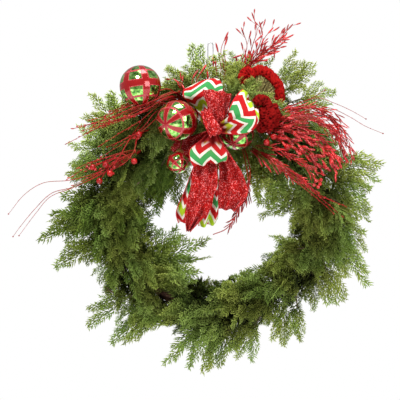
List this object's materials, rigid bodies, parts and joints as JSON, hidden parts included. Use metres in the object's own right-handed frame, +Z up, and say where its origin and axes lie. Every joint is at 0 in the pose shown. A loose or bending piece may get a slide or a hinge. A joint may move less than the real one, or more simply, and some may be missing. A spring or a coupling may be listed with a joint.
{
  "type": "cedar wreath",
  "caption": "Hanging evergreen wreath: cedar bunches bound on a grapevine ring, with glass balls, a chevron and glitter ribbon bow, crested red flowers, red sprays and berries.",
  "frame": {"origin": "inside of the top bend of the wire hanger, where a hook or nail carries the wreath", "axes": "+X to the right as seen from the front, -Y out of the front towards whoever looks at it, +Z up"},
  "size_m": [0.6645, 0.1909, 0.6451],
  "materials": {
    "grapevine": "dark peeling bark",
    "wire": "dull drawn wire",
    "cedar": "matt scale leaves on thin twigs",
    "ball_glass": "silvered lime glass with red glitter bands",
    "ball_cap": "thin crimped metal",
    "chevron_ribbon": "woven ribbon with printed zigzag stripes and wired edges",
    "glitter_ribbon": "red glitter on woven ribbon with wired edges",
    "crest_velvet": "dense velvety frill",
    "red_spray": "dark red lacquer with a soft metallic sheen",
    "berry": "glossy red lacquer"
  },
  "bodies": {
    "root": {"ball_behind_bow": "ball_glass", "ball_cap_behind_bow": "ball_cap", "ball_cap_front": "ball_cap", "ball_cap_small": "ball_cap", "ball_cap_upper": "ball_cap", "ball_front": "ball_glass", "ball_small": "ball_glass", "ball_upper": "ball_glass", "berry_pick_left": "berry", "berry_pick_right": "berry", "binding_wire_1": "wire", "binding_wire_2": "wire", "bow_wire": "wire", "cedar_bunch_front_01": "cedar", "cedar_bunch_front_02": "cedar", "cedar_bunch_front_03": "cedar", "cedar_bunch_front_04": "cedar", "cedar_bunch_front_05": "cedar", "cedar_bunch_inner_01": "cedar", "cedar_bunch_inner_02": "cedar", "cedar_bunch_inner_03": "cedar", "cedar_bunch_inner_04": "cedar", "cedar_bunch_inner_05": "cedar", "cedar_bunch_inner_06": "cedar", "cedar_bunch_inner_07": "cedar", "cedar_bunch_inner_08": "cedar", "cedar_bunch_outer_01": "cedar", "cedar_bunch_outer_02": "cedar", "cedar_bunch_outer_03": "cedar", "cedar_bunch_outer_04": "cedar", "cedar_bunch_outer_05": "cedar", "cedar_bunch_outer_06": "cedar", "cedar_bunch_outer_07": "cedar", "cedar_bunch_outer_08": "cedar", "cedar_bunch_outer_09": "cedar", "cedar_bunch_outer_10": "cedar", "chevron_loop_lower": "chevron_ribbon", "chevron_loop_right": "chevron_ribbon", "chevron_loop_top": "chevron_ribbon", "chevron_tail_left": "chevron_ribbon", "chevron_tail_middle": "chevron_ribbon", "crested_flower_lower": "crest_velvet", "crested_flower_upper": "crest_velvet", "glitter_loop_centre": "glitter_ribbon", "glitter_loop_left": "glitter_ribbon", "glitter_loop_top": "glitter_ribbon", "glitter_tail_left": "glitter_ribbon", "glitter_tail_right": "glitter_ribbon", "grapevine_cane_1": "grapevine", "grapevine_cane_2": "grapevine", "grapevine_cane_3": "grapevine", "grapevine_cane_4": "grapevine", "hanger_wire": "wire", "red_fern_by_tails": "red_spray", "red_leaves_right": "red_spray", "red_leaves_top": "red_spray", "red_twigs_left": "red_spray", "red_twigs_lower_right": "red_spray", "red_twigs_upper_left": "red_spray"}
  },
  "joints": []
}
